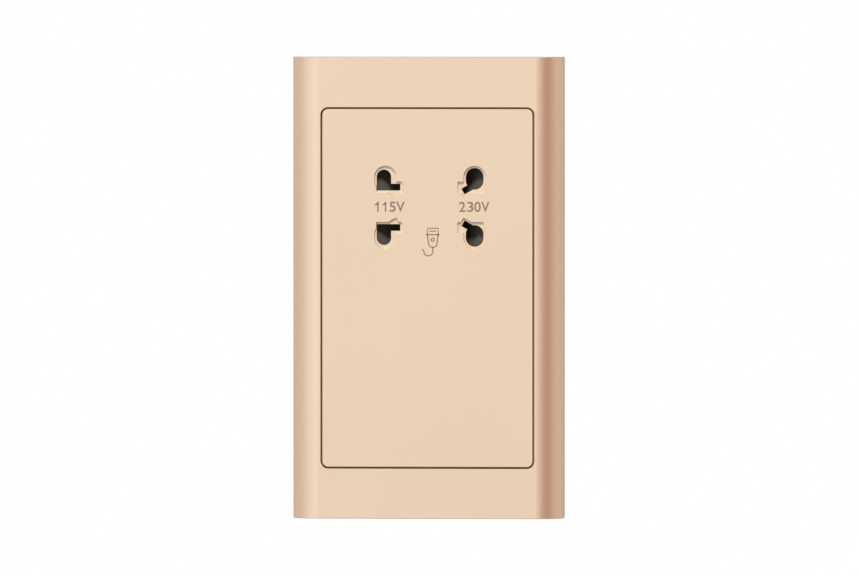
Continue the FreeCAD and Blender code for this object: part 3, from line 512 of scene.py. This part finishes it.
def printed_strokes(name, strokes, width):
    """Ribbons of one width along lines of (x, z) points on the panel's face."""
    points = []
    faces = []
    for stroke in strokes:
        for index, (x, z) in enumerate(stroke):
            back = stroke[max(index - 1, 0)]
            ahead = stroke[min(index + 1, len(stroke) - 1)]
            along = Vector((ahead[0] - back[0], ahead[1] - back[1])).normalized()
            side = Vector((-along.y, along.x)) * width / 2
            points.append(((x + side.x) * MM, PRINT_FRONT, (z + side.y) * MM))
            points.append(((x - side.x) * MM, PRINT_FRONT, (z - side.y) * MM))
            if index:
                last = len(points)
                faces.append((last - 4, last - 3, last - 1, last - 2))
    on_panel(add_object(name, new_mesh(name, points, faces)))


def bow(x, z, across, up, start, end, steps=20):
    """Points on an ellipse about (x, z), between two angles in degrees."""
    turns = [math.radians(start + (end - start) * step / steps) for step in range(steps + 1)]
    return [(x + across * math.cos(turn), z + up * math.sin(turn)) for turn in turns]


# Voltage numerals: characters between a left and a right edge, and plain strokes for the ones

NUMERAL_LOW = 24.07
NUMERAL_HIGH = 27.32
NUMERAL_STROKE = 0.46
GLYPHS = (
    ("5", -12.0, -10.0),
    ("V", -9.9, -7.15),
    ("2", 10.0, 12.05),
    ("3", 12.55, 14.6),
    ("0", 14.85, 16.9),
    ("V", 17.0, 19.65),
)
ONE_STEMS = (-15.65, -13.25)
FLAG_BEND = 0.45
FLAG_BEND_Z = 26.45
FLAG_TIP = 1.05
FLAG_TIP_Z = 26.3
for letter, left, right in GLYPHS:
    printed_glyph(f"mark_{letter}_{left:.0f}", letter, left, right, NUMERAL_LOW, NUMERAL_HIGH)
for number, stem in enumerate(ONE_STEMS, 1):
    upright = [(stem, NUMERAL_LOW), (stem, NUMERAL_HIGH)]
    flag = [
        (stem, NUMERAL_HIGH - NUMERAL_STROKE),
        (stem - FLAG_BEND, FLAG_BEND_Z),
        (stem - FLAG_TIP, FLAG_TIP_Z),
    ]
    printed_strokes(f"mark_one_{number}", [upright, flag], NUMERAL_STROKE)

# Pictogram between the lower apertures: an electric shaver with its lead

SIGN_X = 1.7
SIGN_STROKE = 0.38
HEAD_HALF = 1.7
HEAD_LOW = 16.9
HEAD_HIGH = 18.9
FOIL_HALF = 1.1
FOIL_Z = 18.0
COLLAR_HALF = 2.1
GRIP_HALF = 1.35
GRIP_LOW = 14.2
GRIP_ROUND_Z = 14.0
GRIP_ROUND = 1.1
BUTTON_Z = 15.3
BUTTON_RADIUS = 0.5
LEAD_DROP_Z = 11.9
LEAD_BOW_Z = 11.5
LOOP_HALF = 1.4
LOOP_DROP = 1.3
HOOK_HALF = 0.7
HOOK_RISE = 0.8
head = [
    (SIGN_X - HEAD_HALF, HEAD_LOW),
    (SIGN_X - HEAD_HALF, HEAD_HIGH),
    (SIGN_X + HEAD_HALF, HEAD_HIGH),
    (SIGN_X + HEAD_HALF, HEAD_LOW),
]
foil = [(SIGN_X - FOIL_HALF, FOIL_Z), (SIGN_X + FOIL_HALF, FOIL_Z)]
collar = [(SIGN_X - COLLAR_HALF, HEAD_LOW), (SIGN_X + COLLAR_HALF, HEAD_LOW)]
grip = [
    (SIGN_X - HEAD_HALF, HEAD_LOW),
    (SIGN_X - GRIP_HALF, GRIP_LOW),
    *bow(SIGN_X, GRIP_ROUND_Z, GRIP_HALF, GRIP_ROUND, 180, 360),
    (SIGN_X + GRIP_HALF, GRIP_LOW),
    (SIGN_X + HEAD_HALF, HEAD_LOW),
]
button = bow(SIGN_X, BUTTON_Z, BUTTON_RADIUS, BUTTON_RADIUS, 0, 360)
lead = [
    (SIGN_X, GRIP_ROUND_Z - GRIP_ROUND),
    (SIGN_X, LEAD_DROP_Z),
    *bow(SIGN_X - LOOP_HALF, LEAD_BOW_Z, LOOP_HALF, LOOP_DROP, 0, -180),
    *bow(SIGN_X - LOOP_HALF * 2 - HOOK_HALF, LEAD_BOW_Z, HOOK_HALF, HOOK_RISE, 0, 90),
]
printed_strokes("mark_shaver", [head, foil, collar, grip, button, lead], SIGN_STROKE)

# Return springs: coils of round wire in place of the spring parts, at rest; the real ones shorten as their
# shutter slides out

WIRE_RADIUS = 0.25 * MM
WIRE_SIDES = 10
TURNS = 7
STEPS_PER_TURN = 28
STEPS = TURNS * STEPS_PER_TURN
# Share of the wire in the almost closed turns at each end, and share of the spring's length that they take up
CLOSED = 0.16
CLOSED_SPACING = 1.2
CLOSED_LENGTH = CLOSED / TURNS * CLOSED_SPACING


def reached(share):
    """The share of the spring's length that a share of its wire reaches."""
    if share < CLOSED:
        return share / CLOSED * CLOSED_LENGTH
    if share > 1 - CLOSED:
        return 1 - (1 - share) / CLOSED * CLOSED_LENGTH
    return CLOSED_LENGTH + (share - CLOSED) / (1 - CLOSED * 2) * (1 - CLOSED_LENGTH * 2)


def coil_points(start, length, radius, middle_y, middle_z):
    """Rings of points around a wire that winds about X."""
    points = []
    for step in range(STEPS + 1):
        share = step / STEPS
        angle = math.tau * TURNS * share
        for spoke in range(WIRE_SIDES):
            turn = math.tau * spoke / WIRE_SIDES
            reach = radius + WIRE_RADIUS * math.cos(turn)
            points.append((
                start + length * reached(share) + WIRE_RADIUS * math.sin(turn),
                middle_y + reach * math.cos(angle),
                middle_z + reach * math.sin(angle),
            ))
    return points


def coil_faces():
    """The wire's skin from ring to ring, and a flat face at each end."""
    faces = []
    for step in range(STEPS):
        ring = step * WIRE_SIDES
        following = ring + WIRE_SIDES
        for spoke in range(WIRE_SIDES):
            after = (spoke + 1) % WIRE_SIDES
            faces.append((ring + spoke, ring + after, following + after, following + spoke))
    last = (STEPS + 1) * WIRE_SIDES - 1
    faces.append(tuple(range(WIRE_SIDES)))
    faces.append(tuple(last - spoke for spoke in range(WIRE_SIDES)))
    return faces


def coil_spring(name, node):
    """A round wire wound about X between the shutter's seat and the post at its outer end."""
    low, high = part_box(node)
    radius = (high[2] - low[2]) / 2 - WIRE_RADIUS
    middle_y = (low[1] + high[1]) / 2
    middle_z = (low[2] + high[2]) / 2
    start = low[0] + WIRE_RADIUS
    length = high[0] - low[0] - WIRE_RADIUS * 2
    faces = coil_faces()
    mesh = new_mesh(name, coil_points(start, length, radius, middle_y, middle_z), faces)
    mesh.polygons.foreach_set("use_smooth", [True] * len(faces))
    mesh.materials.append(spring_wire)
    spring = add_object(name, mesh)
    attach(spring, "unit")
    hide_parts(node)
    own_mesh(spring)


coil_spring("coil_115v", "shutter_spring_115v")
coil_spring("coil_230v", "shutter_spring_230v")

# Studio room: white to the camera, bright in front and to the left, a dark warm card in front to the right

BACK = (0.3, 0.4, 0.45)
SIDE_WALL = (0.6, 0.5, 0.45)
BRIGHT_LEFT = (0.75, 0.77, 0.8)
FRONT = (0.7, 0.83, 0.9)
DARK_CARD = (0.22, 0.03, 0.0)
# The room's colour by its bearing from the plate, in degrees to the right of straight ahead
SIDES = (
    (-180, BACK),
    (-130, SIDE_WALL),
    (-75, SIDE_WALL),
    (-52, BRIGHT_LEFT),
    (-30, BRIGHT_LEFT),
    (-3, FRONT),
    (8, DARK_CARD),
    (50, DARK_CARD),
    (80, SIDE_WALL),
    (130, SIDE_WALL),
    (180, BACK),
)
# The room's brightness by height, in degrees above the horizon
HEIGHTS = (
    (-90, 0.3),
    (-40, 0.5),
    (-10, 0.9),
    (20, 1.05),
    (60, 1.1),
    (90, 0.9),
)
ROOM_LEVEL = 1.3

world = bpy.data.worlds.new("studio")
scene.world = world
world.use_nodes = True
sky = Tree(world.node_tree)
sky.tree.nodes.clear()
x, y, z = sky.parts(sky.add("ShaderNodeTexCoord").outputs["Generated"])
bearing = sky.maths("ARCTAN2", x, sky.maths("MULTIPLY", y, -1.0))
around = sky.maths("MULTIPLY_ADD", bearing, 1 / math.tau, 0.5)
upward = sky.maths("ADD", sky.maths("DIVIDE", sky.maths("ARCSINE", z), math.pi), 0.5)
sides = sky.ramp(around, [(angle / 360 + 0.5, colour) for angle, colour in SIDES])
heights = sky.ramp(upward, [(angle / 180 + 0.5, grey(level)) for angle, level in HEIGHTS])
product = sky.add("ShaderNodeVectorMath")
product.operation = "MULTIPLY"
sky.link(sides, product.inputs[0])
sky.link(heights, product.inputs[1])
room = sky.add("ShaderNodeBackground", Color=product.outputs["Vector"], Strength=ROOM_LEVEL)
white = sky.add("ShaderNodeBackground", Color=(*grey(1.0), 1.0))
surroundings = sky.for_camera(room.outputs["Background"], white.outputs["Background"])
sky.add("ShaderNodeOutputWorld", Surface=surroundings)


def direction(azimuth, rise):
    """Unit vector from the plate, at an angle to its right and an angle above it, both in degrees."""
    azimuth = math.radians(azimuth)
    rise = math.radians(rise)
    return Vector((
        math.sin(azimuth) * math.cos(rise),
        -math.cos(azimuth) * math.cos(rise),
        math.sin(rise),
    ))


def aim(item, place, target):
    """Puts a light or the camera at a place and turns it to a target."""
    item.location = place
    item.rotation_euler = (target - place).to_track_quat("-Z", "Y").to_euler()


# Wide key light above the plate

KEY_AZIMUTH = 1
KEY_RISE = 40
key_light = bpy.data.lights.new("key", "SUN")
key_light.angle = math.radians(13)
key_light.energy = 3.45
key_light.color = (0.97, 1.0, 0.93)
aim(add_object("key", key_light), direction(KEY_AZIMUTH, KEY_RISE), Vector((0.0, 0.0, 0.0)))

# Floor under the part

FLOOR_HALF = 1.5
FLOOR_Z = -0.6
corners = [
    (-FLOOR_HALF, -FLOOR_HALF, FLOOR_Z),
    (FLOOR_HALF, -FLOOR_HALF, FLOOR_Z),
    (FLOOR_HALF, FLOOR_HALF, FLOOR_Z),
    (-FLOOR_HALF, FLOOR_HALF, FLOOR_Z),
]
floor = add_object("floor", new_mesh("floor", corners, [(0, 1, 2, 3)]))
floor.data.materials.append(floor_paper())

# Camera: almost square to the plate, a little to its right and above, far off for almost parallel edges

PHOTO_WIDTH = 859
PIXEL = 0.3164 * MM
DISTANCE = 5.0
CAMERA_AZIMUTH = 3.3
CAMERA_RISE = 1.7
SENSOR = 36.0
TARGET = Vector((0.38 * MM, -5 * MM, -0.12 * MM))
lens = bpy.data.cameras.new("camera")
lens.sensor_fit = "HORIZONTAL"
lens.sensor_width = SENSOR
lens.lens = SENSOR * DISTANCE / (PHOTO_WIDTH * PIXEL)
lens.clip_end = 50.0
camera = add_object("camera", lens)
aim(camera, TARGET + DISTANCE * direction(CAMERA_AZIMUTH, CAMERA_RISE), TARGET)
scene.camera = camera

bpy.context.view_layer.update()
